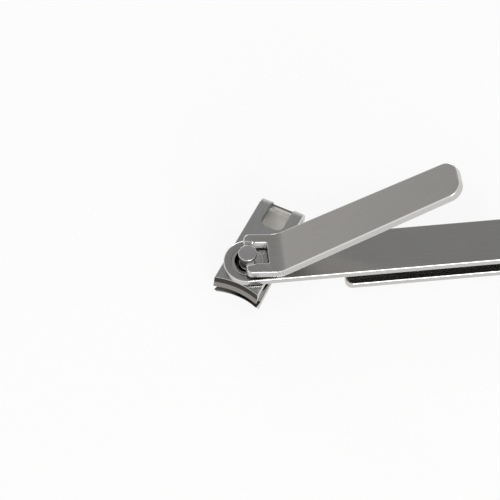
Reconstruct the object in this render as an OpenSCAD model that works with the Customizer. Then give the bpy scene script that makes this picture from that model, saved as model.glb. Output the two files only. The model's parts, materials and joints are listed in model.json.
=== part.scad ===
// Nail clipper with a turning head: a folded strip handle, a jaw head that
// swivels on an eyelet under the handle's round end, and a bent lever that
// hooks in the notch of the pin and lifts it.
// Millimetres, +Z up. The origin is on the swivel axis at the underside of the
// pin's foot, +X points to the rear of the handle.

/* [Handle] */
// Width of the handle strip and of its round end
strip_w = 11.5; // [10.5:0.1:14]
// Thickness of the handle strip
strip_t = 2; // [1.6:0.1:2.6]
// From the swivel axis to the rear of the fold
handle_reach = 66; // [50:1:90]
// From the swivel axis to the free end of the lower leg
leg_start = 23; // [22:0.5:35]
// Clear gap between the two legs
leg_gap = 3.4; // [2:0.1:6]
// Corner radius at the free end of the lower leg
leg_corner_r = 1.8; // [0.5:0.1:4]

/* [Head] */
// Turn of the head from straight, in degrees
head_turn = 58; // [0:1:359]
// Width of the jaws
jaw_w = 11.4; // [10:0.1:14]
// Thickness of the jaw strip
jaw_t = 1.4; // [1:0.1:1.8]
// From the swivel axis to the axis of the rear bend
bend_reach = 17.8; // [14:0.1:18.5]
// Inside radius of the rear bend
bend_r = 0.9; // [0.6:0.1:1.2]
// From the swivel axis to the middle of the cutting edge
edge_reach = 6.25; // [5.5:0.05:8]
// How far the middle of the cutting edge lies behind its ends
edge_hollow = 0.95; // [0.4:0.05:1.6]
// Height of the lip, from the inner face of the jaw to the cutting edge
lip_h = 1.4; // [1.2:0.05:2]
// Height of the ground bevel above the cutting edge
bevel_h = 1.2; // [0.6:0.05:1.6]
// How far the bevel leans forward over its height
bevel_lean = 0.5; // [0.2:0.05:0.8]
// How far the front face leans forward above the bevel
face_lean = 0.4; // [0.1:0.05:0.8]
// Depth of the lip, front to back, at the inner face of the jaw
lip_depth = 2.1; // [1.5:0.1:3]
// Gap between the cutting edges at rest
mouth_gap = 1.9; // [1:0.1:2.4]
// Width of the slot through the rear of the upper jaw
slot_w = 5.7; // [4:0.1:7]
// From the swivel axis to the front end of the slot
slot_start = 12; // [9:0.1:14]
// Corner radius of the slot
slot_corner_r = 1.8; // [0.5:0.1:2]

/* [Swivel] */
// Bore of the eyelet that carries the head
eyelet_bore_d = 6.1; // [5.6:0.1:6.6]
// Wall of the eyelet
eyelet_wall = 0.4; // [0.3:0.05:0.6]
// Height of the eyelet's flared mouth
flare_h = 0.55; // [0.3:0.05:0.8]
// Width of the eyelet's flange under the upper jaw
flange_w = 0.9; // [0.5:0.1:1.3]
// Outer diameter of the friction washer
friction_washer_d = 10.4; // [8.5:0.1:10.4]
// Thickness of the friction washer
friction_washer_t = 0.2; // [0.1:0.05:0.4]

/* [Pin] */
// Diameter of the pin in the eyelet and the lower jaw
pin_d = 4.4; // [4:0.1:5]
// Diameter of the pin beside its notch
neck_d = 3.8; // [3.4:0.1:3.9]
// Diameter of the pin's head
pin_head_d = 4.4; // [3.8:0.1:4.4]
// Thickness of the pin's head
pin_head_t = 0.9; // [0.7:0.05:1]
// Chamfer round the top of the pin's head
pin_head_chamfer = 0.3; // [0.1:0.05:0.4]
// How far the head stands proud of the lever
pin_head_proud = 0.3; // [0.2:0.05:0.6]
// Depth of the pin's shoulder below the top of the handle
shoulder_depth = 0.5; // [0.2:0.1:1]
// Diameter of the pin's foot
foot_d = 7.2; // [6.4:0.1:8]
// Thickness of the pin's foot
foot_t = 0.95; // [0.7:0.05:1.5]
// Chamfer round the underside of the foot
foot_chamfer = 0.4; // [0.1:0.05:0.6]
// Outer diameter of the foot washer
foot_washer_d = 6.6; // [6:0.1:7]
// Thickness of the foot washer
foot_washer_t = 0.4; // [0.2:0.05:0.6]

/* [Lever] */
// Thickness of the lever
lever_t = 2.3; // [1.8:0.1:2.6]
// Width of the lever at its front and its knee
lever_w = 10.7; // [9:0.1:12]
// Width of the lever at its rear tip
lever_tip_w = 9; // [7:0.1:10.5]
// Length of the lever behind its knee
lever_rear_l = 47; // [35:1:60]
// Tilt of the front part, which rises to the front, in degrees
front_tilt = 7.7; // [6:0.1:12]
// Rise of the rear part, in degrees
rear_rise = 33.6; // [25:0.1:40]
// From the swivel axis to the axis of the knee
knee_reach = 7.1; // [6.8:0.05:9]
// Inside radius of the knee
knee_r = 0.4; // [0.2:0.05:0.8]
// How far the lever's nose reaches past the swivel axis
nose_reach = 0.85; // [0.75:0.05:1]
// Width of the bar across the nose
bar_w = 1.9; // [1.7:0.05:2.1]
// Length of the window behind the bar
window_l = 3.55; // [2:0.05:4]
// Width of the window
window_w = 5.5; // [4.6:0.1:6.5]
// Radius of the dish pressed into the bar under the pin's head
dish_r = 3.5; // [3:0.1:4]
// Depth of the dish
dish_depth = 1.35; // [1.2:0.05:1.4]
// Depth of the notch in the nose that clears the pin's neck
nose_notch = 0.4; // [0.2:0.05:0.5]
// Corner radius at the lever's front
front_corner_r = 1.3; // [0.5:0.1:2]
// Corner radius at the lever's tip
tip_corner_r = 3.2; // [1:0.1:3.4]
// Corner radius of the window
window_corner_r = 0.35; // [0.2:0.05:0.8]

/* [Clearances] */
// Running clearance between parts that turn on each other
run_gap = 0.05; // [0.03:0.01:0.1]
// Gap all round the eyelet's flared rim
rim_gap = 0.1; // [0.05:0.01:0.2]
// Gap round the pin in the lower jaw, which tilts about it
tilt_gap = 0.55; // [0.5:0.05:0.8]
// Gap between the pin's neck and the lever's nose
neck_gap = 0.2; // [0.15:0.05:0.3]
// Gap left at the cutting edges when the jaws are closed
closed_gap = 0.03; // [0.02:0.01:0.1]
// Flat left along each cutting edge
edge_land = 0.05; // [0.02:0.01:0.1]
// Gap between the rear bend and the lower jaw, which turns about the bend
joint_gap = 0.02; // [0.01:0.01:0.05]

/* [Hidden] */
$fn = 96;
// Overshoot of cutting shapes past the faces that they cut
past = 1;
// The lever's rounds are this much larger than tangent, so that they cross its flats cleanly
round_ease = 0.002;

// Heights below are counted from the top face of the handle
jaw_top = -strip_t - friction_washer_t - 2 * run_gap;
jaw_inner = jaw_top - jaw_t;
bend_z = jaw_inner - bend_r;
bend_outer_r = bend_r + jaw_t;
edge_span = bend_reach + edge_reach;
lip_overlap = 2 * (lip_h - bend_r);
open_angle = asin((lip_overlap + mouth_gap) / edge_span);
closed_angle = asin((lip_overlap + closed_gap) / edge_span);
foot_washer_top = bend_z - bend_outer_r / cos(open_angle)
                  - (bend_reach + foot_washer_d / 2) * tan(open_angle) - run_gap;
foot_top = foot_washer_top - foot_washer_t - run_gap;
foot_bottom = foot_top - foot_t;
plate_top = -foot_bottom;

// Middle of the pin's hole in the lower jaw, half way through the jaw's travel
mid_angle = (open_angle + closed_angle) / 2;
hole_shift = bend_reach * (1 - cos(mid_angle)) + (bend_r + jaw_t / 2) * sin(mid_angle);

// Cutting edge: radius of the hollow arc, and the arc's centre
edge_r = (pow(jaw_w / 2, 2) + pow(edge_hollow, 2)) / (2 * edge_hollow);
edge_centre = -(edge_reach + edge_r);

// Lever: the knee's axis, and a point (x, z) of the front part in the handle's frame
knee_outer_r = knee_r + lever_t;
knee_z = run_gap + knee_outer_r;
front_l = (knee_reach + nose_reach - knee_outer_r * sin(front_tilt)) / cos(front_tilt);
axis_on_top = -(knee_reach - knee_r * sin(front_tilt)) / cos(front_tilt);
lever_top_at_pin = knee_z - axis_on_top * sin(front_tilt) - knee_r * cos(front_tilt);
pin_top = lever_top_at_pin + pin_head_proud;
neck_face = -(nose_reach - nose_notch) - neck_gap;

eyelet_r = eyelet_bore_d / 2 + eyelet_wall;
rim_r = eyelet_r + eyelet_wall;
eyelet_hole_r = eyelet_r + run_gap;
rim_seat_r = rim_r + rim_gap;

// Places its children, drawn from the handle's top face, at their height
module at_plate() {
    translate([0, 0, plate_top]) children();
}

// Places its children, drawn with the head straight, at the head's turn
module at_head() {
    at_plate() rotate([0, 0, head_turn]) children();
}

// A tube or disc about Z, from z0 to z1
module ring(outer_r, inner_r, z0, z1) {
    translate([0, 0, z0])
        difference() {
            cylinder(h = z1 - z0, r = outer_r);
            translate([0, 0, -past]) cylinder(h = z1 - z0 + 2 * past, r = inner_r);
        }
}

// A curved length of strip about the Y axis, from angle a0 to a1 (0 is +X, 90 is +Z)
module strip_bend(inner_r, thickness, width, a0, a1) {
    rotate([90, -a0, 0])
        rotate_extrude(angle = a1 - a0)
            translate([inner_r, -width / 2]) square([thickness, width]);
}

// Plan outline from x0 to x1, square at x1, with rounded corners at x0
module end_outline(x0, x1, width, corner_r) {
    for (side = [-1, 1])
        translate([x0 + corner_r, side * (width / 2 - corner_r)]) circle(r = corner_r);
    translate([x0, -width / 2 + corner_r]) square([x1 - x0, width - 2 * corner_r]);
    translate([x0 + corner_r, -width / 2]) square([x1 - x0 - corner_r, width]);
}

// Plan outline of a window from x0 to x1 with four rounded corners
module window_outline(x0, x1, width, corner_r) {
    for (side = [-1, 1], x = [x0 + corner_r, x1 - corner_r])
        translate([x, side * (width / 2 - corner_r)]) circle(r = corner_r);
    translate([x0, -width / 2 + corner_r]) square([x1 - x0, width - 2 * corner_r]);
    translate([x0 + corner_r, -width / 2]) square([x1 - x0 - 2 * corner_r, width]);
}

module handle() {
    fold_r = leg_gap / 2;
    fold_x = handle_reach - fold_r - strip_t;
    color("gray")
        at_plate() {
            difference() {
                translate([0, 0, -strip_t]) {
                    cylinder(h = strip_t, d = strip_w);
                    translate([0, -strip_w / 2, 0]) cube([fold_x, strip_w, strip_t]);
                }
                translate([0, 0, -strip_t - past]) cylinder(h = strip_t + 2 * past, r = eyelet_hole_r);
                rim_seat();
            }
            translate([fold_x, 0, -strip_t - fold_r])
                strip_bend(fold_r, strip_t, strip_w, -90, 90);
            translate([0, 0, -2 * strip_t - leg_gap])
                linear_extrude(strip_t)
                    end_outline(leg_start, fold_x, strip_w, leg_corner_r);
        }
}

// The countersunk seat round the hole in the handle, which the eyelet's rim lies in
module rim_seat() {
    rotate_extrude()
        polygon([[0, past], [rim_seat_r, past], [rim_seat_r, -eyelet_wall],
                 [eyelet_hole_r, -eyelet_wall - flare_h], [0, -eyelet_wall - flare_h]]);
}

module swivel_eyelet() {
    bore_r = eyelet_bore_d / 2;
    flange_top = jaw_inner;
    flange_bottom = jaw_inner - eyelet_wall;
    color("lightgray")
        at_head()
            rotate_extrude()
                polygon([[bore_r, flange_bottom], [eyelet_r + flange_w, flange_bottom],
                         [eyelet_r + flange_w, flange_top], [eyelet_r, flange_top],
                         [eyelet_r, -eyelet_wall - flare_h], [rim_r, -eyelet_wall],
                         [rim_r, 0], [rim_r - run_gap, 0], [bore_r, -flare_h]]);
}

module friction_washer() {
    color("darkgray")
        at_head()
            ring(friction_washer_d / 2, eyelet_r + run_gap,
                 jaw_top + run_gap, jaw_top + run_gap + friction_washer_t);
}

// The space in front of a jaw's hollow front face: the bevel, then the face above it
module front_cut() {
    face_h = lip_h + jaw_t - bevel_h;
    translate([edge_centre, 0, jaw_inner - lip_h]) {
        translate([0, 0, -past]) cylinder(h = past, r = edge_r);
        cylinder(h = bevel_h, r1 = edge_r, r2 = edge_r + bevel_lean);
        translate([0, 0, bevel_h])
            cylinder(h = face_h, r1 = edge_r + bevel_lean, r2 = edge_r + bevel_lean + face_lean);
        translate([0, 0, bevel_h + face_h])
            cylinder(h = past, r = edge_r + bevel_lean + face_lean);
    }
}

// One jaw of the folded strip, with its lip down, drawn as the upper jaw
module jaw_strip(rear_x) {
    front_x = edge_reach + edge_hollow + past;
    difference() {
        union() {
            translate([-front_x, -jaw_w / 2, jaw_inner])
                cube([front_x + rear_x, jaw_w, jaw_t]);
            intersection() {
                translate([-front_x, -jaw_w / 2, jaw_inner - lip_h])
                    cube([front_x + rear_x, jaw_w, lip_h]);
                translate([edge_centre, 0, jaw_inner - lip_h])
                    cylinder(h = lip_h, r1 = edge_r + edge_land, r2 = edge_r + lip_depth);
            }
        }
        front_cut();
    }
}

// The slot that softens the bend, cut from the upper jaw and the top half of the bend
module slot_cut() {
    translate([0, 0, bend_z])
        linear_extrude(bend_outer_r + past)
            window_outline(slot_start, bend_reach + 2 * bend_outer_r, slot_w, slot_corner_r);
}

module upper_jaw() {
    color("silver")
        at_head()
            difference() {
                jaw_strip(bend_reach);
                translate([0, 0, jaw_inner - past]) cylinder(h = jaw_t + 2 * past, r = eyelet_r);
                slot_cut();
            }
}

module jaw_spring() {
    gap_angle = joint_gap / bend_r * 180 / PI;
    color("lightsteelblue")
        at_head()
            difference() {
                translate([bend_reach, 0, bend_z])
                    strip_bend(bend_r, jaw_t, jaw_w, -90 + open_angle + gap_angle, 90);
                slot_cut();
            }
}

// The lower jaw is the upper one turned over about the bend, and open
module lower_jaw() {
    color("silver")
        at_head()
            translate([bend_reach, 0, bend_z])
                rotate([0, -open_angle, 0])
                    mirror([0, 0, 1])
                        translate([-bend_reach, 0, -bend_z])
                            difference() {
                                jaw_strip(bend_reach);
                                translate([-hole_shift, 0, jaw_inner - past])
                                    cylinder(h = jaw_t + 2 * past, r = pin_d / 2 + tilt_gap);
                            }
}

module pin() {
    head_r = pin_head_d / 2;
    notch_h = pin_top - pin_head_t + shoulder_depth;
    color("gainsboro")
        at_plate()
            difference() {
                rotate_extrude()
                    polygon([[0, foot_bottom], [foot_d / 2 - foot_chamfer, foot_bottom],
                             [foot_d / 2, foot_bottom + foot_chamfer], [foot_d / 2, foot_top],
                             [pin_d / 2, foot_top], [pin_d / 2, -shoulder_depth],
                             [neck_d / 2, -shoulder_depth], [neck_d / 2, pin_top - pin_head_t],
                             [head_r, pin_top - pin_head_t],
                             [head_r, pin_top - pin_head_chamfer],
                             [head_r - pin_head_chamfer, pin_top], [0, pin_top]]);
                translate([neck_face, -pin_d, -shoulder_depth])
                    cube([2 * pin_d, 2 * pin_d, notch_h]);
            }
}

module foot_washer() {
    color("darkgray")
        at_plate()
            ring(foot_washer_d / 2, pin_d / 2 + run_gap,
                 foot_washer_top - foot_washer_t, foot_washer_top);
}

// A point of the lever's side outline, from one in its front or its rear part
function front_point(x, z) = [x * cos(front_tilt) + z * sin(front_tilt),
                              z * cos(front_tilt) - x * sin(front_tilt)];
function rear_point(x, z) = [x * cos(rear_rise) - z * sin(rear_rise),
                             z * cos(rear_rise) + x * sin(rear_rise)];

// Side outline of the lever, with the knee's axis at the origin
module lever_profile() {
    half_bend = (front_tilt + rear_rise) / 2;
    mitre = knee_outer_r * tan(half_bend);
    difference() {
        polygon([front_point(-front_l, -knee_outer_r), front_point(mitre, -knee_outer_r),
                 rear_point(lever_rear_l, -knee_outer_r), rear_point(lever_rear_l, -knee_r),
                 rear_point(0, -knee_r), front_point(0, -knee_r),
                 front_point(-front_l, -knee_r)]);
        circle(r = knee_r + round_ease);
        difference() {
            rotate((rear_rise - front_tilt) / 2)
                translate([-knee_outer_r * sin(half_bend), -2 * knee_outer_r])
                    square([2 * knee_outer_r * sin(half_bend), 2 * knee_outer_r]);
            circle(r = knee_outer_r + round_ease);
        }
    }
}

// What a rounded corner takes off a square one at (x, y); side is 1 or -1 in Y, end in X
module corner_cut(x, y, r, end, side) {
    translate([x - end * r, y - side * r])
        mirror([end < 0 ? 1 : 0, 0])
            mirror([0, side < 0 ? 1 : 0])
                difference() {
                    square(r + past);
                    circle(r = r + round_ease);
                }
}

// Cut from the front part: its corners, the window, the notch for the neck and the dish
module front_cuts() {
    bar_x = -front_l + bar_w;
    notch_w = neck_d + 2 * neck_gap;
    dish_ball_r = (pow(dish_r, 2) + pow(dish_depth, 2)) / (2 * dish_depth);
    translate([0, 0, -knee_outer_r - past])
        linear_extrude(lever_t + 2 * past) {
            window_outline(bar_x, bar_x + window_l, window_w, window_corner_r);
            translate([-front_l - past, -notch_w / 2]) square([past + nose_notch, notch_w]);
            for (side = [-1, 1])
                corner_cut(-front_l, side * lever_w / 2, front_corner_r, -1, side);
        }
    translate([axis_on_top, 0, -knee_r - dish_depth + dish_ball_r])
        rotate([90, 0, 0]) sphere(r = dish_ball_r);
}

// Cut from the rear part: the taper of its sides and the corners of its tip
module rear_cuts() {
    translate([0, 0, -knee_outer_r - past])
        linear_extrude(lever_t + 2 * past)
            for (side = [-1, 1]) {
                polygon([[0, side * lever_w / 2], [lever_rear_l + past, side * lever_w / 2],
                         [lever_rear_l + past, side * lever_tip_w / 2],
                         [lever_rear_l - tip_corner_r, side * lever_tip_w / 2]]);
                corner_cut(lever_rear_l, side * lever_tip_w / 2, tip_corner_r, 1, side);
            }
}

module lever() {
    color("darkgray")
        at_plate()
            translate([knee_reach, 0, knee_z])
                difference() {
                    rotate([90, 0, 0]) linear_extrude(lever_w, center = true) lever_profile();
                    rotate([0, front_tilt, 0]) front_cuts();
                    rotate([0, -rear_rise, 0]) rear_cuts();
                }
}

handle();
swivel_eyelet();
friction_washer();
upper_jaw();
jaw_spring();
lower_jaw();
pin();
foot_washer();
lever();
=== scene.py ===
import json
import math

import bmesh
import bpy
from bpy.props import FloatProperty, PointerProperty, StringProperty
from mathutils import Matrix, Vector
from mathutils.bvhtree import BVHTree
from mathutils.geometry import delaunay_2d_cdt


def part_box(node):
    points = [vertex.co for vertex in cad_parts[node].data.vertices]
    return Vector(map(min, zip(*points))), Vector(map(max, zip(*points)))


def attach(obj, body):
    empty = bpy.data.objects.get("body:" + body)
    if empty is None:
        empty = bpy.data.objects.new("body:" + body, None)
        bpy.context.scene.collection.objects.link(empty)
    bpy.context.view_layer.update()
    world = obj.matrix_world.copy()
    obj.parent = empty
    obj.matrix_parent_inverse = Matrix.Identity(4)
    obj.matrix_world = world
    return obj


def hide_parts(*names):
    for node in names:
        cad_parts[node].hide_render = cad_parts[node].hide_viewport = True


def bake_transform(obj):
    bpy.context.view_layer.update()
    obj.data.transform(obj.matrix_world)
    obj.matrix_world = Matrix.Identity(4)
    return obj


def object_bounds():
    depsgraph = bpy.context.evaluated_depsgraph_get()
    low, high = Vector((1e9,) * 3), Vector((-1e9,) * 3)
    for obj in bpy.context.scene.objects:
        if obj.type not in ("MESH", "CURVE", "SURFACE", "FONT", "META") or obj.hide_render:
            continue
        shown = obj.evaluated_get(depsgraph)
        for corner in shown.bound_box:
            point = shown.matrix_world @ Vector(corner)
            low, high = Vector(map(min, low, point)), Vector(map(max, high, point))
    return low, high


bl_info = {
    "name": "Swivel-head Nail Clipper",
    "version": (1, 0, 0),
    "blender": (4, 5, 0),
    "location": "View3D > Sidebar > Clipper",
    "description": "Dresses the packed nail clipper: pressed strips, turned pin and brushed steel",
    "category": "Object",
}

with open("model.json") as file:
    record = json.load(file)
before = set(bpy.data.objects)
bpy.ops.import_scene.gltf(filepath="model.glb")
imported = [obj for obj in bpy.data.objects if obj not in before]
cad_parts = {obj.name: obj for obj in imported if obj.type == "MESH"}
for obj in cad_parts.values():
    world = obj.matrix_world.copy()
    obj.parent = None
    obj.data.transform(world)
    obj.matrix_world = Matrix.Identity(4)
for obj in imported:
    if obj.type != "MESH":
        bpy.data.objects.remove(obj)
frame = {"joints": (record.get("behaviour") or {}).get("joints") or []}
CAD_LOW, CAD_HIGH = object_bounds()
MM = 0.001
JOINT = {joint["name"]: joint for joint in frame["joints"]}
# The top face of the handle, which heights on the clipper are counted from
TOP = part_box("handle")[1].z
STRIP_WIDTH = 2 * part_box("handle")[1].y
HANDLE_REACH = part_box("handle")[1].x

# Width and height of the photograph's frame, in which x runs right and y down
IMAGE_SIZE = 500
# The first four image points set the camera. Each goes with a place on a piece, given by
# its lay: along, across and depth in millimetres. None is the middle of a turned head.
IMAGE_POINTS = {
    "ring_left": (223.4, 261.5, "handle_strip", (-5.75, 0, 0.3)),
    "pin_head": (247.3, 252.3, "pin_turned", None),
    "leg_front_near_corner": (345.5, 278.0, "handle_strip", (110.06, -3.95, 1.7)),
    "jaw_front_left_corner": (213.4, 282.0, "jaw_strip", (-6.6, 5.7, 1.6)),
    "jaw_bend_left": (259.5, 202.0, "jaw_strip", (17.8, 5.7, 0)),
    "lever_nose_far_corner": (245.0, 235.5, "lever_strip", (-7.2, 4.9, 0)),
    "lever_nose_near_corner": (248.5, 271.5, "lever_strip", (-7.2, -4.9, 0)),
    "lever_knee_far": (275.5, 233.0, "lever_strip", (0.5, 5.35, 0)),
    "lever_knee_near": (281.5, 271.0, "lever_strip", (0.5, -5.35, 0)),
    "window_far_front": (253.0, 244.2, "lever_strip", (-5.7, 2.75, 0)),
    "window_near_rear": (269.8, 263.0, "lever_strip", (-2.25, -2.75, 0)),
    "slot_left": (262.5, 222.0, "jaw_strip", (12.6, 2.85, 0)),
    "lower_edge_right": (254.8, 308.5, "jaw_strip", (46.9, -5.7, 2.8)),
    "handle_near_edge": (385.6, 269.7, "handle_strip", (32, -5.75, 0.3)),
}


def length(name, millimetres, description):
    """A length property whose default is given in millimetres."""
    return FloatProperty(name=name, description=description, default=millimetres * MM,
                         unit="LENGTH", precision=5)


def colour(name, code, description):
    """A colour property, kept as an sRGB hex code."""
    return StringProperty(name=name, description=description, default=code, maxlen=7)


# ---------------------------------------------------------------- sizes and colours

class HandleSizes(bpy.types.PropertyGroup):
    thickness: length("Thickness", 2.0, "Thickness of the handle strip")
    fold_radius: length("Fold", 1.7, "Inside radius of the fold at the rear")
    leg_start: length("Lower leg", 23.0, "From the pin to the free end of the lower leg")
    leg_corner: length("Leg corner", 1.8, "Corner radius at the free end of the lower leg")
    seat_radius: length("Seat", 3.95, "Radius of the countersunk seat round the hole")
    seat_depth: length("Seat depth", 0.4, "Straight depth of the seat")
    hole_radius: length("Hole", 3.5, "Radius of the hole for the eyelet")
    cone_depth: length("Cone depth", 0.95, "Depth at which the seat reaches the hole")
    seat_round: length("Seat round", 0.09, "Radius of the seat's edge")
    edge_round: length("Edge round", 0.3, "Radius of the tumbled edges")


class HeadSizes(bpy.types.PropertyGroup):
    thickness: length("Thickness", 1.4, "Thickness of the jaw strip")
    width: length("Width", 11.4, "Width of the jaws")
    bend_reach: length("Bend", 17.8, "From the swivel axis to the axis of the bend")
    bend_radius: length("Bend radius", 0.9, "Inside radius of the bend")
    open_angle: FloatProperty(name="Open angle", description="Angle between the jaws at rest",
                              default=math.radians(6.9257), unit="ROTATION")
    edge_reach: length("Edge", 6.25, "From the swivel axis to the middle of the cutting edge")
    edge_hollow: length("Hollow", 0.95, "How far the middle of the edge lies behind its ends")
    lip_height: length("Lip", 1.4, "Height of the lip that carries the cutting edge")
    lip_depth: length("Lip depth", 2.1, "Depth of the lip at the inner face of the jaw")
    bevel_height: length("Bevel", 1.2, "Height of the ground bevel")
    bevel_lean: length("Bevel lean", 0.5, "How far the bevel leans forward")
    face_lean: length("Face lean", 0.4, "How far the front face leans forward")
    # The dark seat is painted shade round the pin's hole inside the lower jaw
    seat: length("Seat", 5.2, "Radius of the dark seat round the pin inside the lower jaw")
    slot_start: length("Slot", 12.0, "From the swivel axis to the slot")
    slot_width: length("Slot width", 5.7, "Width of the slot")
    slot_corner: length("Slot corner", 1.8, "Corner radius of the slot")
    # Below this depth the slot's end wall is painted pale as light
    slot_light_depth: length("Slot tear", 0.65, "Depth at which the end wall of the slot tore")
    bore_radius: length("Eyelet bore", 3.05, "Bore of the eyelet")
    eyelet_wall: length("Eyelet wall", 0.4, "Wall of the eyelet")
    flange: length("Flange", 0.9, "Width of the eyelet's flange")
    flare: length("Flare", 0.55, "Height of the eyelet's flared mouth")
    rim_spread: length("Rim spread", 0.05, "How far the pressed rim has spread in its seat")
    mouth_round: length("Mouth round", 0.15, "How far the eyelet's mouth curves into the bore")
    mouth_depth: length("Mouth depth", 0.385, "Depth of the curve of the eyelet's mouth")
    pin_space: length("Pin space", 0.55, "Space round the pin in the lower jaw")
    pin_shift: length("Pin shift", 0.19, "How far the pin's hole lies towards the bend")
    land: length("Land", 0.05, "Flat width of the cutting edge")
    edge_round: length("Edge round", 0.16, "Radius of the tumbled edges")


class PinSizes(bpy.types.PropertyGroup):
    radius: length("Pin", 2.2, "Radius of the pin")
    neck_radius: length("Neck", 1.9, "Radius of the neck under the head")
    neck_face: length("Neck face", -0.65, "Where the notch leaves the neck")
    head_radius: length("Head", 2.2, "Radius of the head")
    head_thickness: length("Head thickness", 0.9, "Thickness of the head")
    head_chamfer: length("Head chamfer", 0.3, "Chamfer round the top of the head")
    shoulder: length("Shoulder", 0.5, "Depth of the shoulder below the handle's top")
    foot_radius: length("Foot", 3.6, "Radius of the foot")
    foot_thickness: length("Foot thickness", 0.95, "Thickness of the foot")
    foot_chamfer: length("Foot chamfer", 0.4, "Chamfer round the foot")
    collar_radius: length("Collar", 2.95, "Radius of the half collar beside the neck")
    collar_start: length("Collar start", -0.3, "Where the half collar begins along the handle")
    collar_depth: length("Collar depth", 0.1, "How far the collar reaches below the shoulder")
    collar_gap: length("Collar gap", 0.02, "From the collar's top to the handle's top")
    collar_spread: FloatProperty(name="Collar spread", default=1.055,
                                 description="Width of the collar's top over that of its foot")


class LeverSizes(bpy.types.PropertyGroup):
    thickness: length("Thickness", 2.3, "Thickness of the lever")
    width: length("Width", 10.7, "Width at the nose and the knee")
    tip_width: length("Tip width", 9.0, "Width at the rear tip")
    rear_length: length("Rear length", 47.0, "Length behind the knee")
    front_tilt: FloatProperty(name="Front tilt", description="How far the front rises forward",
                              default=math.radians(7.7), unit="ROTATION")
    rear_rise: FloatProperty(name="Rear rise", description="How far the rear rises",
                             default=math.radians(33.6), unit="ROTATION")
    knee_reach: length("Knee", 7.1, "From the swivel axis to the axis of the knee")
    knee_radius: length("Knee radius", 0.4, "Inside radius of the knee")
    knee_height: length("Knee height", 2.75, "Height of the knee's axis over the handle")
    knee_soft: length("Knee softness", 4.0, "Radius that softens the inside of the knee")
    nose_reach: length("Nose", 0.85, "How far the nose reaches past the swivel axis")
    bar: length("Bar", 1.9, "Width of the bar across the nose")
    window_length: length("Window", 3.55, "Length of the window behind the bar")
    window_width: length("Window width", 5.5, "Width of the window")
    window_lean: length("Window lean", 0.25, "How far the far wall of the window leans back")
    window_corner: length("Window corner", 0.35, "Corner radius of the window")
    window_round: length("Window round", 0.18, "Radius of the window's edges")
    dish_radius: length("Dish", 3.5, "Radius of the dish pressed into the bar")
    dish_depth: length("Dish depth", 1.35, "Depth of the dish")
    # The pale near side of the dish is a painted highlight
    highlight_start: length("Rub", 0.8, "From the middle line to the rubbed side of the dish")
    notch_depth: length("Notch", 0.4, "Depth of the notch that clears the pin")
    notch_width: length("Notch width", 4.2, "Width of the notch")
    notch_corner: length("Notch corner", 0.18, "Corner radius of the notch")
    nose_corner: length("Nose corner", 1.3, "Corner radius of the nose")
    tip_corner: length("Tip corner", 3.2, "Corner radius of the tip")
    edge_round: length("Edge round", 0.3, "Radius of the tumbled edges")


class SteelLook(bpy.types.PropertyGroup):
    handle: colour("Handle", "#B3B2B0", "Brushed steel of the handle")
    lever: colour("Lever", "#BAB7B4", "Brushed steel of the lever")
    jaw: colour("Jaws", "#BBBCBA", "Satin steel of the jaws")
    turned: colour("Turned", "#C4C1C1", "Turned steel of the pin")
    # Painted shade: the neck is darker than the head to stand for the shade under it
    neck: colour("Neck", "#8E8B89", "Cut steel of the pin's neck")
    edge: colour("Edges", "#DAD9D7", "Tumbled and polished edges")
    wall: colour("Walls", "#C5C3C1", "Sheared side walls of the handle and the lever")
    # Painted shade: the punched walls are darker than the sheared ones
    punched: colour("Punched walls", "#8C8B89", "Punched and sheared walls of the jaws")
    # Painted light: the pale colour of the window's far wall and of the dish's near side
    painted_light_colour: colour("Broken walls", "#F8F6F4", "Torn wall of the lever's window")
    # Partly real, partly painted light: the blasted inside is matt, and its near-white colour
    # stands for light
    inside: colour("Inside", "#F7F4F0", "Bead-blasted inside of the jaws")
    # Painted shade: this dark colour stands for shade on the lip fronts, inside the jaws, in the
    # eyelet's bore and on the pin's shaft
    front: colour("Lip front", "#43403E", "Ground front of the lips")
    bevel: colour("Bevel", "#8D8987", "Ground bevel above the cutting edge")


class StageSetup(bpy.types.PropertyGroup):
    azimuth: FloatProperty(name="Azimuth", description="Direction of the camera round the object",
                           default=math.radians(-4.536), unit="ROTATION")
    elevation: FloatProperty(name="Elevation", description="Height of the camera over the horizon",
                             default=math.radians(57.945), unit="ROTATION")
    roll: FloatProperty(name="Roll", description="Roll of the camera",
                        default=math.radians(-1.026), unit="ROTATION")
    camera_x: length("Camera X", -11.966, "Place of the camera along the handle")
    camera_y: length("Camera Y", -158.006, "Place of the camera across the handle")
    camera_z: length("Camera Z", 268.682, "Height of the camera over the pin's foot")
    lens: FloatProperty(name="Lens", description="Focal length in millimetres on a 36 mm sensor",
                        default=92.15)
    floor: colour("Floor", "#F4F4F3", "Pale floor")
    floor_size: length("Floor size", 6000, "Width of the floor")
    glow: FloatProperty(name="Glow", description="Strength of the floor's glow", default=1.07)
    glow_share: FloatProperty(name="Glow share", default=0.78,
                              description="Share of the glow in the floor's look")


# ---------------------------------------------------------------- outlines in plan

def arc(centre, radius, start, end, steps):
    """Points of an arc in plan, angles in degrees."""
    return [(centre[0] + radius * math.cos(math.radians(start + (end - start) * i / steps)),
             centre[1] + radius * math.sin(math.radians(start + (end - start) * i / steps)))
            for i in range(steps + 1)]


def spaced(points, step):
    """The closed outline with points added so that none lie further apart than step."""
    out = []
    for i, (x, y) in enumerate(points):
        x2, y2 = points[(i + 1) % len(points)]
        parts = max(1, math.ceil(math.hypot(x2 - x, y2 - y) / step - 1e-6))
        out += [(x + (x2 - x) * k / parts, y + (y2 - y) * k / parts) for k in range(parts)]
    return out


def clean(points):
    """The outline without points that repeat the one before."""
    return [p for i, p in enumerate(points)
            if math.hypot(p[0] - points[i - 1][0], p[1] - points[i - 1][1]) > 1e-7]


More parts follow.
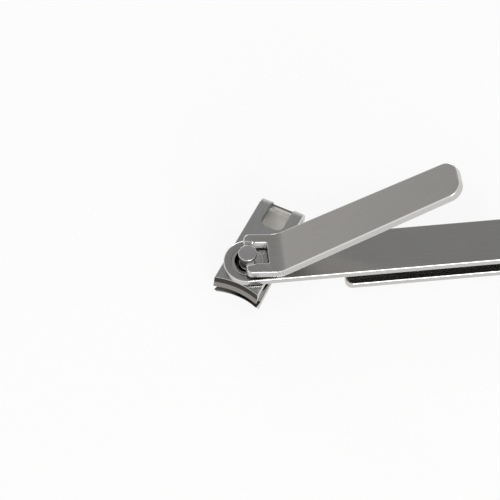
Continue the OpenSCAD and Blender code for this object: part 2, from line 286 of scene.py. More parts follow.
def inside(point, outline):
    """Whether a point lies inside a closed outline."""
    x, y = point
    found = False
    x1, y1 = outline[-1]
    for x2, y2 in outline:
        if (y1 > y) != (y2 > y) and x < (x2 - x1) * (y - y1) / (y2 - y1) + x1:
            found = not found
        x1, y1 = x2, y2
    return found


def rounded(radius, steps=4):
    """Inset and depth of the points of a rounded edge, from the face to the side."""
    return [(radius * (1 - math.sin(a)), radius * (1 - math.cos(a)))
            for a in (math.pi / 2 * i / steps for i in range(steps + 1))]


# ---------------------------------------------------------------- pressed strips

# Finishes of a strip, in the order that its materials come in
FACE, ROUND, WALL, PUNCHED_PAINTED_SHADE, INSIDE_PAINTED_LIGHT, PAINTED_SHADE, BEVEL = range(7)
# Painted light: the lever's pale window wall and dish take the fourth material
PAINTED_LIGHT = INSIDE_PAINTED_LIGHT


class PressedStrip:
    """A strip pressed from sheet, built flat as (along, across, depth) and then bent.

    Depth is counted from the face that lies outside the bend or on top. A finish is the
    place of its material in the list that the strip is dressed with.
    """

    def __init__(self):
        self.flat, self.faces, self.finishes = [], [], []
        self.top, self.bottom = [], []

    def add(self, point):
        self.flat.append(point)
        return len(self.flat) - 1

    def edge(self, outline, section):
        """Adds one edge of the strip: a closed outline with the steel on its left.

        section gives a column of (along, across, depth, finish of the band below it).
        """
        count = len(outline)
        columns = []
        for i, (x, y) in enumerate(outline):
            before = Vector(outline[i - 1])
            after = Vector(outline[(i + 1) % count])
            one = (Vector((x, y)) - before).normalized()
            two = (after - Vector((x, y))).normalized()
            inward = (Vector((-one.y, one.x)) + Vector((-two.y, two.x))) / (1 + one.dot(two))
            columns.append([(self.add(p[:3]), p[3]) for p in section(x, y, inward)])
        for i in range(count):
            a, b = columns[i - 1], columns[i]
            for k in range(len(a) - 1):
                self.faces.append((a[k][0], a[k + 1][0], b[k + 1][0], b[k][0]))
                self.finishes.append(a[k][1] if a[k][1] == b[k][1] else WALL)
        self.top.append([c[0][0] for c in columns])
        self.bottom.append([c[-1][0] for c in columns])

    def fill(self, loops, rows, depth, finish, creases=(), grains=()):
        """Fills a face between its edges, with a row of points across at each bend step.

        depth gives a point's depth, and finish the face's finish, or a function that does.
        """
        ids = [i for loop in loops for i in loop]
        points = [self.flat[i][:2] for i in ids]
        lines, start = [], 0
        for loop in loops:
            lines += [(start + k, start + (k + 1) % len(loop)) for k in range(len(loop))]
            start += len(loop)
        for row in rows:
            across = sorted((points[k][1], k) for k in range(len(ids))
                            if abs(points[k][0] - row) < 1e-7)
            lines += [(across[k][1], across[k + 1][1]) for k in range(0, len(across) - 1, 2)]
        outlines = [[self.flat[i][:2] for i in loop] for loop in loops]

        def within(point):
            return inside(point, outlines[0]) and not any(inside(point, o) for o in outlines[1:])

        for crease in creases:
            kept = [p for p in crease if within(p)]
            first = len(points)
            points += kept
            gap = max(math.dist(a, b) for a, b in zip(crease, crease[1:])) * 1.5
            lines += [(first + k, first + k + 1) for k in range(len(kept) - 1)
                      if math.dist(kept[k], kept[k + 1]) < gap]
        points += [p for p in grains if within(p)]
        scale = 1 / MM
        verts, _, faces, origins, _, _ = delaunay_2d_cdt(
            [Vector(p) * scale for p in points], lines, [], 0, 1e-5)
        known = []
        for vert, origin in zip(verts, origins):
            old = [k for k in origin if k < len(ids)]
            x, y = vert / scale
            known.append(ids[old[0]] if old else self.add((x, y, depth(x, y))))
        for face in faces:
            middle = sum((verts[k] for k in face), Vector((0, 0))) / 3 / scale
            if within(middle):
                self.faces.append(tuple(known[k] for k in face))
                self.finishes.append(finish(*middle) if callable(finish) else finish)

    def bend(self, name, place):
        """Makes the bent strip as a mesh object. place turns a flat point into a Vector."""
        mesh = bpy.data.meshes.new(name)
        mesh.from_pydata([place(*p) for p in self.flat], [], self.faces)
        lay = mesh.attributes.new("lay", "FLOAT_VECTOR", "POINT")
        lay.data.foreach_set("vector", [c / MM for p in self.flat for c in p])
        mesh.polygons.foreach_set("material_index", self.finishes)
        return finished(name, mesh)


def finished(name, mesh, sharp=35):
    """Links a mesh as an object, with its faces turned outward and its flats kept flat."""
    bm = bmesh.new()
    bm.from_mesh(mesh)
    bmesh.ops.recalc_face_normals(bm, faces=bm.faces)
    bm.to_mesh(mesh)
    bm.free()
    mesh.polygons.foreach_set("use_smooth", [True] * len(mesh.polygons))
    mesh.set_sharp_from_angle(angle=math.radians(sharp))
    obj = linked(name, mesh)
    weighted = obj.modifiers.new("Flats", "WEIGHTED_NORMAL")
    weighted.keep_sharp = True
    return obj


def linked(name, data):
    """A mesh, camera or lamp as an object of the scene."""
    obj = bpy.data.objects.new(name, data)
    bpy.context.scene.collection.objects.link(obj)
    return obj


def block(name, outline, low, high, widen=1):
    """An upright block on an outline in plan, as a tool for cutting and joining.

    widen is the width of its top over that of its foot.
    """
    count = len(outline)
    mesh = bpy.data.meshes.new(name)
    sides = [(i, (i + 1) % count, count + (i + 1) % count, count + i) for i in range(count)]
    mesh.from_pydata([(x * k, y * k, z) for z, k in ((low, 1), (high, widen))
                      for x, y in outline], [],
                     sides + [tuple(reversed(range(count))), tuple(range(count, 2 * count))])
    return linked(name, mesh)


def turned(name, profile, base=0, turns=128, drawn=()):
    """A turned piece: a closed profile of (radius, height over base) spun about the pin.

    drawn names the bands of the profile that take the second material, a painted shade on the
    eyelet.
    """
    verts, lay = [], []
    count = len(profile)
    for i in range(turns):
        a = 2 * math.pi * i / turns
        for radius, height in profile:
            verts.append((radius * math.cos(a), radius * math.sin(a), base + height))
            lay += [a * 3, radius / MM, height / MM]
    faces, finishes = [], []
    for i in range(turns):
        j = (i + 1) % turns
        for k in range(count):
            m = (k + 1) % count
            faces.append((i * count + k, i * count + m, j * count + m, j * count + k))
            finishes.append(int(k in drawn))
    mesh = bpy.data.meshes.new(name)
    mesh.from_pydata(verts, [], faces)
    mesh.attributes.new("lay", "FLOAT_VECTOR", "POINT").data.foreach_set("vector", lay)
    mesh.polygons.foreach_set("material_index", finishes)
    return mesh


# ---------------------------------------------------------------- steel

def linear(code):
    """An sRGB hex code as a linear colour."""
    values = [int(code[i:i + 2], 16) / 255 for i in (1, 3, 5)]
    return [v / 12.92 if v <= 0.04045 else ((v + 0.055) / 1.055) ** 2.4 for v in values] + [1]


def node(tree, kind, settings=(), links=()):
    """Adds a node, sets its attributes or input sockets, and links its inputs."""
    made = tree.nodes.new(kind)
    for key, value in dict(settings).items():
        if isinstance(key, int) or key in made.inputs:
            made.inputs[key].default_value = value
        else:
            setattr(made, key, value)
    for key, socket in dict(links).items():
        tree.links.new(socket, made.inputs[key])
    return made


def steel_base(name, code):
    """Starts a steel: its material, node tree, shader, and the lay of the piece it is on."""
    material = bpy.data.materials.new(name)
    material.use_nodes = True
    tree = material.node_tree
    shader = tree.nodes["Principled BSDF"]
    shader.inputs["Metallic"].default_value = 1
    shader.inputs["Base Color"].default_value = linear(code)
    lay = node(tree, "ShaderNodeAttribute", {"attribute_name": "lay"})
    return material, tree, shader, lay.outputs["Vector"]


def noise(tree, lay, size, detail, roughness=0.5):
    """Noise whose grains have a size in millimetres along, across and deep."""
    place = node(tree, "ShaderNodeMapping", {"Scale": [1 / s for s in size]}, {"Vector": lay})
    return node(tree, "ShaderNodeTexNoise",
                {"Scale": 1, "Detail": detail, "Roughness": roughness},
                {"Vector": place.outputs["Vector"]}).outputs["Fac"]


def spread(tree, value, low, high):
    """Spreads the middle of a noise between two values."""
    return node(tree, "ShaderNodeMapRange",
                {"From Min": 0.3, "From Max": 0.7, "To Min": low, "To Max": high},
                {"Value": value}).outputs["Result"]


def brushed_stainless(name, code, roughness, line_length=9.0, line_width=0.3, bump=0.006):
    """Brushed stainless steel: belt-ground along the strip, then lightly tumbled.

    The real grit lines are about 0.05 mm wide, too fine to show, so they are drawn
    line_width mm wide, line_length mm long and bump mm deep. They give a faint streak
    along the strip.
    """
    material, tree, shader, lay = steel_base(name, code)
    lines = noise(tree, lay, (line_length, line_width, line_width), 4, 0.65)
    # Hand and tool marks 12 mm across, which let the sheen wander a little
    wander = noise(tree, lay, (12, 12, 12), 2)
    dark, light = ([min(1, c * k) for c in linear(code)[:3]] + [1] for k in (0.93, 1.06))
    tone = node(tree, "ShaderNodeMix", {"data_type": "RGBA", 6: dark, 7: light},
                {"Factor": lines})
    tree.links.new(tone.outputs[2], shader.inputs["Base Color"])
    sheen = node(tree, "ShaderNodeMath", {"operation": "ADD"},
                 {0: spread(tree, lines, roughness - 0.04, roughness + 0.06),
                  1: spread(tree, wander, -0.03, 0.03)})
    tree.links.new(sheen.outputs["Value"], shader.inputs["Roughness"])
    relief = node(tree, "ShaderNodeBump", {"Strength": 0.2, "Distance": bump * MM},
                  {"Height": lines})
    tree.links.new(relief.outputs["Normal"], shader.inputs["Normal"])
    return material


def plain_steel(name, code, low, high, size, detail=3):
    """Steel whose roughness wanders from low to high with an uneven grain of a size in mm."""
    material, tree, shader, lay = steel_base(name, code)
    tree.links.new(spread(tree, noise(tree, lay, size, detail), low, high),
                   shader.inputs["Roughness"])
    return material


def shared(name, make, *settings):
    """A finish that several pieces share, made the first time that it is asked for."""
    return bpy.data.materials.get(name) or make(name, *settings)


def polished_edge():
    """Polished stainless edge: rounded in a tumbling barrel, bright and a little uneven.

    The tumbling stones leave dents about 0.8 mm across.
    """
    return shared("polished_stainless_edge", plain_steel,
                  bpy.context.scene.clipper_look.edge, 0.13, 0.21, (0.8, 0.8, 0.8), 2)


def sheared_wall():
    """Sheared stainless wall: the cut side of the strip, greyer than its tumbled edges.

    The die leaves upright marks about 0.4 mm wide, which break up the sheen.
    """
    return shared("sheared_stainless_wall", plain_steel,
                  bpy.context.scene.clipper_look.wall, 0.25, 0.29, (0.4, 0.4, 2.5))


def punched_wall_painted_shade():
    """Punched stainless wall of a slot, window or hole, painted darker than the sheared walls as
    shade.

    The punch leaves upright marks as wide as the die's.
    """
    return shared("punched_stainless_wall", plain_steel,
                  bpy.context.scene.clipper_look.punched, 0.33, 0.37, (0.4, 0.4, 2.5))


def painted_light_steel(name, code):
    """Pale matt steel: painted light on the window's far wall and on the near side of the dish.

    Its grain is about 0.2 mm high and wide.
    """
    return plain_steel(name, code, 0.82, 0.94, (0.2, 0.2, 0.2))


def blasted_painted_light(name, code):
    """Bead-blasted stainless steel inside the jaws: matt, with 0.3 mm pits, and painted pale as
    light.
    """
    return plain_steel(name, code, 0.54, 0.66, (0.3, 0.3, 0.3))


def ground_or_painted_shade(name, code, roughness):
    """Ground stainless steel, with marks that run up the face; in a dark colour it is painted
    shade.

    The real marks are too fine to show, so they are drawn 0.3 mm wide and 3 mm long.
    """
    return plain_steel(name, code, roughness - 0.06, roughness + 0.06, (0.3, 0.3, 3))


def dress(obj, body, slot, materials, *nodes):
    """Gives a piece its materials and its body, and hides the CAD nodes that it stands for. The
    slot is not used.
    """
    for material in materials:
        obj.data.materials.append(material)
    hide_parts(*nodes)
    if body:
        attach(obj, body)
    return obj


# ---------------------------------------------------------------- the pieces

class CLIPPER_OT_handle(bpy.types.Operator):
    """Make the folded handle strip with its round end and countersunk hole"""
    bl_idname = "clipper.handle"
    bl_label = "Handle"

    def execute(self, context):
        s = context.scene.clipper_handle
        half = STRIP_WIDTH / 2
        outer = s.fold_radius + s.thickness
        fold_x = HANDLE_REACH - outer
        middle = s.fold_radius + s.thickness / 2
        fold_length = math.pi * middle
        end = fold_x + fold_length + fold_x - s.leg_start
        step = 8 * MM
        rows = [step * i for i in range(1, int(fold_x / step) + 1)]
        rows += [fold_x + fold_length * i / 24 for i in range(25)]
        rows += [fold_x + fold_length + step * i for i in range(1, 5)]
        outline = arc((0, 0), half, 90, 270, 120)
        outline += [(x, -half) for x in rows]
        corner = s.leg_corner
        outline += arc((end - corner, corner - half), corner, 270, 360, 14)
        outline += arc((end - corner, half - corner), corner, 0, 90, 14)
        outline += [(x, half) for x in reversed(rows)]
        edge = rounded(s.edge_round)
        strip = PressedStrip()

        def side(x, y, inward):
            column = [(x + inward.x * i, y + inward.y * i, d, ROUND) for i, d in edge]
            below = [(a, b, s.thickness - d, ROUND) for a, b, d, _ in reversed(column)]
            column[-1] = column[-1][:3] + (WALL,)
            return column + below

        def seat(x, y, inward):
            a = math.atan2(y, x)
            steps = [(s.seat_radius + i, d, ROUND) for i, d in rounded(s.seat_round)]
            steps += [(s.seat_radius, s.seat_depth, WALL), (s.hole_radius, s.cone_depth, WALL),
                      (s.hole_radius, s.thickness, WALL)]
            return [(r * math.cos(a), r * math.sin(a), d, f) for r, d, f in steps]

        strip.edge(clean(outline), side)
        strip.edge(arc((0, 0), s.seat_radius, 360, 3.75, 95), seat)
        strip.fill(strip.top, rows, lambda x, y: 0, FACE)
        strip.fill(strip.bottom, rows, lambda x, y: s.thickness, FACE)

        def place(x, y, depth):
            if x <= fold_x:
                return Vector((x, y, TOP - depth))
            if x < fold_x + fold_length:
                a = math.pi / 2 - (x - fold_x) / middle
                r = outer - depth
                return Vector((fold_x + r * math.cos(a), y, TOP - outer + r * math.sin(a)))
            return Vector((fold_x - (x - fold_x - fold_length), y, TOP - 2 * outer + depth))

        look = context.scene.clipper_look
        steel = brushed_stainless("brushed_stainless_handle", look.handle, 0.2)
        dress(strip.bend("handle_strip", place), "handle", "handle_steel",
              [steel, polished_edge(), sheared_wall()], "handle")
        return {"FINISHED"}


def head_place(x, y, z):
    """A point of the head, drawn straight along the handle, at the head's turn."""
    axis = JOINT["jaw_close"]["axis"]
    turn = math.atan2(-axis[0], axis[1])
    return Matrix.Rotation(turn, 3, "Z") @ Vector((x, y, z))


class CLIPPER_OT_jaws(bpy.types.Operator):
    """Make the folded jaw strip with its lips, its slot and its holes"""
    bl_idname = "clipper.jaws"
    bl_label = "Jaws"

    def execute(self, context):
        s = context.scene.clipper_head
        half = s.width / 2
        jaw_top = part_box("upper_jaw")[1].z
        outer = s.bend_radius + s.thickness
        middle = s.bend_radius + s.thickness / 2
        bend_length = middle * (math.pi - s.open_angle)
        total = 2 * s.bend_reach + bend_length
        edge_radius = (half ** 2 + s.edge_hollow ** 2) / (2 * s.edge_hollow)
        centre = -(s.edge_reach + edge_radius)
        top_radius = edge_radius + s.bevel_lean + s.face_lean
        full = s.thickness + s.lip_height
        crease = full - s.bevel_height
        rows = [s.bend_reach + bend_length * i / 20 for i in range(21)]
        slot_end = s.bend_reach + middle * math.pi / 2

        def from_edge(x, y):
            """Distance from the centre of the near cutting edge's arc, and which end it is."""
            far = x > total / 2
            return math.hypot((total - x if far else x) - centre, y), far

        def lip(radius):
            share = (edge_radius + s.lip_depth - radius) / (s.lip_depth - s.land)
            return s.lip_height * min(1, max(0, share))

        def lean(depth):
            """How far the front face stands in front of the cutting edge at a depth."""
            if depth > crease:
                return s.bevel_lean * (full - depth) / s.bevel_height
            return s.bevel_lean + s.face_lean * (crease - depth) / crease

        def side(x, y, inward):
            radius, far = from_edge(x, y)
            front = abs(radius - top_radius) < 1e-6
            depth = full if front else s.thickness + lip(radius)
            levels = [(i, d, FACE if front else ROUND) for i, d in rounded(s.edge_round)]
            # The lip's front face is ground steel, painted dark as shade
            levels[-1] = levels[-1][:2] + (PAINTED_SHADE if front else WALL,)
            levels.append((0, depth * crease / full, BEVEL if front else WALL))
            low = s.edge_round / 2
            levels += ([(0, depth, ROUND), (s.land, depth, ROUND)] if front
                       else [(0, depth - low, ROUND), (low, depth, ROUND)])
            column = []
            for inset, d, finish in levels:
                px, py = x + inward.x * inset, y + inward.y * inset
                if front:
                    back = top_radius - edge_radius - lean(d)
                    local = total - px if far else px
                    reach = math.hypot(local - centre, py)
                    local = centre + (local - centre) * (reach - back) / reach
                    if abs(y) < half - 1e-9:
                        py *= (reach - back) / reach
                    px = total - local if far else local
                column.append((px, py, d, finish))
            return column

        span = math.degrees(math.asin(half / top_radius))
        front = arc((centre, 0), top_radius, span, -span, 40)
        rear = [(total - x, y) for x, y in reversed(front)]
        back_x = math.sqrt((edge_radius + s.lip_depth) ** 2 - half ** 2) + centre
        steps = [back_x * (1 - i / 6) + front[-1][0] * i / 6 for i in range(5, -1, -1)]
        lengthwise = steps + rows + [total - x for x in reversed(steps)]
        outline = front + [(x, -half) for x in lengthwise] + rear
        outline += [(x, half) for x in reversed(lengthwise)]
        strip = PressedStrip()
        strip.edge(clean(outline), side)

        def hole_edge(x, y, inward):
            column = [(x + inward.x * i, y + inward.y * i, d, ROUND)
                      for i, d in rounded(s.edge_round / 2)]
            return column + [(x, y, s.thickness * 0.9, PUNCHED_PAINTED_SHADE), (x, y, s.thickness, PUNCHED_PAINTED_SHADE)]

        def slot_edge(x, y, inward):
            # Below its upper part the slot's end wall is painted as pale as the inside, a painted
            # light
            lower_wall_paint = INSIDE_PAINTED_LIGHT if x > slot_end - 1e-6 else PUNCHED_PAINTED_SHADE
            # The slot's rounded edges take the dark punched colour as well, painted shade in place
            # of their highlights
            column = [(x + inward.x * i, y + inward.y * i, d, PUNCHED_PAINTED_SHADE)
                      for i, d in rounded(s.edge_round)]
            low = s.edge_round / 2
            return column + [(x, y, s.slot_light_depth, lower_wall_paint), (x, y, s.thickness - low, lower_wall_paint),
                             (x + inward.x * low, y + inward.y * low, s.thickness, PUNCHED_PAINTED_SHADE)]

        bore = s.bore_radius + s.eyelet_wall
        strip.edge(arc((0, 0), bore, 360, 5, 71), hole_edge)
        pin_hole = context.scene.clipper_pin.radius + s.pin_space
        strip.edge(arc((total + s.pin_shift, 0), pin_hole, 360, 5, 71), hole_edge)
        wide, corner = s.slot_width / 2, s.slot_corner
        slot_rows = [x for x in rows if x < slot_end - 1e-6]
        slot = arc((s.slot_start + corner, wide - corner), corner, 180, 90, 12)
        slot += [(x, wide) for x in slot_rows]
        slot += [(slot_end, wide), (slot_end, -wide)]
        slot += [(x, -wide) for x in reversed(slot_rows)]
        slot += arc((s.slot_start + corner, corner - wide), corner, 270, 180, 12)
        slot = clean(slot)
        strip.edge(slot, slot_edge)
        strip.fill(strip.top, rows, lambda x, y: 0, FACE)

        def underside(x, y):
            return s.thickness + lip(from_edge(x, y)[0])

        # Painted shade on the inner faces of the bend and of the lower jaw's lips, and on a seat
        # round the pin; the rest of the lower jaw's inner face is painted pale as light
        def underside_finish(x, y):
            if from_edge(x, y)[0] > edge_radius + s.lip_depth and x > slot_end:
                return PAINTED_SHADE if math.hypot(total - x, y) < s.seat else INSIDE_PAINTED_LIGHT
            return PAINTED_SHADE if x > s.bend_reach else FACE

        # Arcs of points along the lips, kept just clear of the strip's own edges
        clear, creases = 0.1 * MM, []
        for share in (0, 0.2, 0.4, 0.6, 0.8, 1):
            radius = edge_radius + clear + (s.lip_depth - clear) * share
            reach = math.degrees(math.asin((half - 1.2 * clear) / radius))
            near = arc((centre, 0), radius, reach, -reach, 48)
            creases += [near, [(total - x, y) for x, y in near]]
        creases.append(arc((total, 0), s.seat, 0, 360, 72))
        strip.fill(strip.bottom, rows, underside, underside_finish, creases)

        bend_z = jaw_top - outer

        def place(x, y, depth):
            if x <= s.bend_reach:
                return head_place(x, y, jaw_top - depth)
            r = outer - depth
            if x < s.bend_reach + bend_length:
                a = math.pi / 2 - (x - s.bend_reach) / middle
                return head_place(s.bend_reach + r * math.cos(a), y, bend_z + r * math.sin(a))
            along = x - s.bend_reach - bend_length
            c, d = math.cos(s.open_angle), math.sin(s.open_angle)
            return head_place(s.bend_reach - along * c + r * d, y, bend_z - along * d - r * c)

        look = context.scene.clipper_look
        steel = brushed_stainless("satin_stainless_jaws", look.jaw, 0.24, 7.0, 0.3)
        piece = dress(strip.bend("jaw_strip", place), None, "jaw_steel",
                      [steel, polished_edge(), sheared_wall(), punched_wall_painted_shade(),
                       blasted_painted_light("blasted_stainless_inside", look.inside),
                       ground_or_painted_shade("ground_stainless_front", look.front, 0.38),
                       ground_or_painted_shade("ground_stainless_bevel", look.bevel, 0.3)],
                      "upper_jaw", "jaw_spring", "lower_jaw")
        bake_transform(piece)
        return {"FINISHED"}


def washer(name, material, shaft, chamfer, body, cad_node):
    """A rolled steel washer round a shaft of a radius, as large as its CAD node."""
    low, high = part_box(cad_node)
    hole, rim = shaft + 0.05 * MM, high.y
    profile = [(hole, low.z + chamfer), (hole + chamfer, low.z), (rim - chamfer, low.z),
               (rim, low.z + chamfer), (rim, high.z - chamfer), (rim - chamfer, high.z),
               (hole + chamfer, high.z), (hole, high.z - chamfer)]
    steel = brushed_stainless(material, bpy.context.scene.clipper_look.jaw, 0.3, 20.0, 0.25)
    dress(finished(name, turned(name, profile)), body, "washer_steel", [steel], cad_node)


class CLIPPER_OT_swivel(bpy.types.Operator):
    """Make the eyelet that the head turns on, and its friction washer"""
    bl_idname = "clipper.swivel"
    bl_label = "Swivel"

    def execute(self, context):
        s = context.scene.clipper_head
        look = context.scene.clipper_look
        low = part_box("swivel_eyelet")[0].z - TOP
        tube = s.bore_radius + s.eyelet_wall
        rim = tube + s.eyelet_wall + s.rim_spread
        r = 0.06 * MM
        profile = [(s.bore_radius, low + r), (s.bore_radius + r, low),
                   (tube + s.flange - 2 * r, low), (tube + s.flange, low + 2 * r),
                   (tube + s.flange, low + s.eyelet_wall - r),
                   (tube + s.flange - r, low + s.eyelet_wall), (tube, low + s.eyelet_wall),
                   (tube, -s.eyelet_wall - s.flare), (rim, -s.eyelet_wall),
                   (rim, -r), (rim - r, 0)]
        # The mouth is rolled over a punch: a flat rim that curves down into the bore
        flat = s.bore_radius + s.mouth_round
        for i in range(7):
            a = math.pi / 2 * i / 6
            profile.append((flat - s.mouth_round * math.sin(a),
                            -s.mouth_depth * (1 - math.cos(a))))
        # The bore, its lower corner and the four steepest bands of the mouth are painted dark as
        # shade
        mesh = turned("swivel_eyelet_rolled", profile, TOP,
                      drawn=[0, *range(len(profile) - 5, len(profile))])
        steel = brushed_stainless("turned_stainless_eyelet", look.turned, 0.2, 20.0, 0.2)
        dress(finished("swivel_eyelet_rolled", mesh), "head", "eyelet_steel",
              [steel, ground_or_painted_shade("drawn_stainless_bore", look.front, 0.45)],
              "swivel_eyelet")
        washer("friction_washer_disc", "rolled_steel_washer", tube, 0.05 * MM, "head",
               "friction_washer")
        return {"FINISHED"}


class CLIPPER_OT_pin(bpy.types.Operator):
    """Make the turned pin with its notch, and the washer on its foot"""
    bl_idname = "clipper.pin"
    bl_label = "Pin"

    def execute(self, context):
        s = context.scene.clipper_pin
        look = context.scene.clipper_look
        low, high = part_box("pin")
        r = 0.08 * MM
        foot_top = s.foot_thickness
        shoulder = TOP - s.shoulder
        under = high.z - s.head_thickness
        axis = 0.01 * MM
        profile = [(axis, low.z), (s.foot_radius - s.foot_chamfer - r, low.z),
                   (s.foot_radius - s.foot_chamfer + r, low.z + r)]
        profile += [(s.foot_radius - r, low.z + s.foot_chamfer - r),
                    (s.foot_radius, low.z + s.foot_chamfer + r), (s.foot_radius, foot_top - r),
                    (s.foot_radius - r, foot_top), (s.radius + r, foot_top),
                    (s.radius, foot_top + r), (s.radius, shoulder - 2 * r),
                    (s.radius - 2 * r, shoulder), (s.neck_radius, shoulder)]
        profile += [(s.neck_radius, under), (s.head_radius - r / 2, under),
                    (s.head_radius, under + r / 2)]
        chamfer = s.head_chamfer
        for i in range(7):
            a = math.pi / 2 * i / 6
            profile.append((s.head_radius - chamfer + chamfer * math.cos(a),
                            high.z - chamfer + chamfer * math.sin(a)))
        profile.append((axis, high.z))
        blank = linked("pin_blank", turned("pin_blank", profile, turns=96))
        reach = 4 * MM
        notch = block("notch", [(s.neck_face, -reach), (reach, -reach), (reach, reach),
                                (s.neck_face, reach)], shoulder, under)
        # Half collar beside the neck, which fills the eyelet under the lever's window
        wide = math.degrees(math.acos(s.collar_start / s.collar_radius))
        collar = block("collar", arc((0, 0), s.collar_radius, -wide, wide, 40),
                       shoulder - s.collar_depth, TOP - s.collar_gap, s.collar_spread)
        for tool, operation in ((notch, "DIFFERENCE"), (collar, "UNION")):
            cut = blank.modifiers.new(tool.name, "BOOLEAN")
            cut.object, cut.operation, cut.solver = tool, operation, "EXACT"
        context.view_layer.update()
        mesh = bpy.data.meshes.new_from_object(
            blank.evaluated_get(context.evaluated_depsgraph_get()))
        for spent in (blank, notch, collar):
            bpy.data.objects.remove(spent)
        mesh.materials.clear()
        steel = brushed_stainless("turned_stainless_pin", look.turned, 0.22, 20.0, 0.2)
        dress(finished("pin_turned", mesh), "pin", "pin_steel",
              [steel, ground_or_painted_shade("drawn_stainless_shaft", look.front, 0.45),
               ground_or_painted_shade("cut_stainless_neck", look.neck, 0.5)], "pin")
        # The shaft is painted dark from the foot to the shoulder, as shade in the gap round the
        # pin.
        # The neck is painted greyer than the head, as shade under the head.
        for face in mesh.polygons:
            if abs(face.normal.z) > 0.5:
                continue
            if foot_top < face.center.z < shoulder - r:
                face.material_index = 1
            elif shoulder < face.center.z < under and face.center.x < 0:
                face.material_index = 2
        washer("foot_washer_disc", "rolled_steel_foot_washer", s.radius, 0.08 * MM, "foot",
               "foot_washer")
        return {"FINISHED"}


class CLIPPER_OT_lever(bpy.types.Operator):
    """Make the bent lever with its window and the dish under the pin's head"""
    bl_idname = "clipper.lever"
    bl_label = "Lever"

    def execute(self, context):
        s = context.scene.clipper_lever
        half, tip = s.width / 2, s.tip_width / 2
        turn = s.front_tilt + s.rear_rise
        outer = s.knee_radius + s.thickness
        bend_length = turn * (s.knee_radius + s.thickness / 2)
        tilt_c, tilt_s = math.cos(s.front_tilt), math.sin(s.front_tilt)
        nose = -(s.knee_reach + s.nose_reach - outer * tilt_s) / tilt_c
        axis = -(s.knee_reach - s.knee_radius * tilt_s) / tilt_c
        end = bend_length + s.rear_length
        soft = s.knee_soft * math.tan(turn / 2)
        rows = [-soft * (1 - i / 8) for i in range(8)]
        rows += [bend_length * i / 8 for i in range(9)]
        rows += [bend_length + soft * i / 8 for i in range(1, 9)]
        c = s.nose_corner
        notch, deep = s.notch_width / 2, nose + s.notch_depth
        fine, fillet = 0.25 * MM, s.notch_corner
        flank = half - c - notch - fillet
        steps = math.ceil(flank / fine)
        flank = [(nose, half - c - flank * i / steps) for i in range(1, steps + 1)]
        nose_end = flank + arc((nose + fillet, notch + fillet), fillet, 180, 270, 3)
        nose_end += arc((deep - fillet, notch - fillet), fillet, 90, 0, 3)
        nose_end += [(deep, (notch - fillet) * (1 - i / 8)) for i in range(1, 16)]
        nose_end += arc((deep - fillet, fillet - notch), fillet, 0, -90, 3)
        nose_end += arc((nose + fillet, -notch - fillet), fillet, 90, 180, 3)
        nose_end += [(x, -y) for x, y in reversed(flank)]
        outline = arc((nose + c, c - half), c, 180, 270, 14)
        outline += [(x, -half) for x in rows]
        t = s.tip_corner
        slope = math.degrees(math.atan2(half - tip, s.rear_length - t))
        near_tip = arc((end - t, t - tip), t, 270 + slope, 360, 24)
        (x0, y0), (x1, y1) = outline[-1], near_tip[0]
        taper = [(x0 + (x1 - x0) * i / 6, y0 + (y1 - y0) * i / 6) for i in range(1, 6)]
        outline += taper + near_tip + arc((end - t, tip - t), t, 0, 90 - slope, 24)
        outline += [(x, -y) for x, y in reversed(taper)]
        outline += [(x, half) for x in reversed(rows)]
        outline += arc((nose + c, half - c), c, 90, 180, 14)
        outline += nose_end

        def top_depth(x, y):
            """How far the top lies below the flat strip: the dish, and the soft inside of
            the knee, which stands above it."""
            ball = (s.dish_radius ** 2 + s.dish_depth ** 2) / (2 * s.dish_depth)
            away = math.hypot(x - axis, y)
            if away < s.dish_radius:
                return math.sqrt(ball ** 2 - away ** 2) - (ball - s.dish_depth)
            into = soft - abs(x - bend_length / 2) + bend_length / 2
            if into > 0:
                into = min(into, soft)
                return math.sqrt(s.knee_soft ** 2 - into ** 2) - s.knee_soft
            return 0

        def side(x, y, inward, radius=s.edge_round):
            points = [(x + inward.x * i, y + inward.y * i, d) for i, d in rounded(radius)]
            column = [(a, b, d + top_depth(a, b), ROUND) for a, b, d in points]
            column[-1] = column[-1][:3] + (WALL,)
            return column + [(a, b, s.thickness - d, ROUND) for a, b, d in reversed(points)]

        def window_side(x, y, inward):
            # The far wall is painted pale and matt as light, and the rear wall dark as painted
            # shade
            column = side(x, y, inward, s.window_round)
            finish = PAINTED_LIGHT if inward.y > 0.5 else PUNCHED_PAINTED_SHADE if inward.x > 0.5 else WALL
            lean = s.window_lean if finish == PAINTED_LIGHT else 0
            return [(a + inward.x * lean * (1 - d / s.thickness),
                     b + inward.y * lean * (1 - d / s.thickness), d,
                     finish if f == WALL else ROUND) for a, b, d, f in column]

        strip = PressedStrip()
        strip.edge(clean(outline), side)
        x0, w, q = nose + s.bar, s.window_width / 2, s.window_corner
        x1 = x0 + s.window_length
        window = arc((x0 + q, w - q), q, 180, 90, 5) + arc((x1 - q, w - q), q, 90, 0, 5)
        window += arc((x1 - q, q - w), q, 0, -90, 5) + arc((x0 + q, q - w), q, 270, 180, 5)
        strip.edge(spaced(clean(window), fine), window_side)
        rim = arc((axis, 0), s.dish_radius, 0, 360, 120)
        grains = [p for i in range(1, 14)
                  for p in arc((axis, 0), s.dish_radius * i / 14, 0, 355, 10 + 5 * i)]

        def top_finish(x, y):
            # The near side of the dish is painted pale, a painted highlight
            painted_highlight = math.hypot(x - axis, y) < s.dish_radius and y < -s.highlight_start
            return PAINTED_LIGHT if painted_highlight else FACE

        strip.fill(strip.top, rows, top_depth, top_finish, [rim], grains)
        strip.fill(strip.bottom, rows, lambda x, y: s.thickness, FACE)
        knee = Vector((s.knee_reach, 0, TOP + s.knee_height))

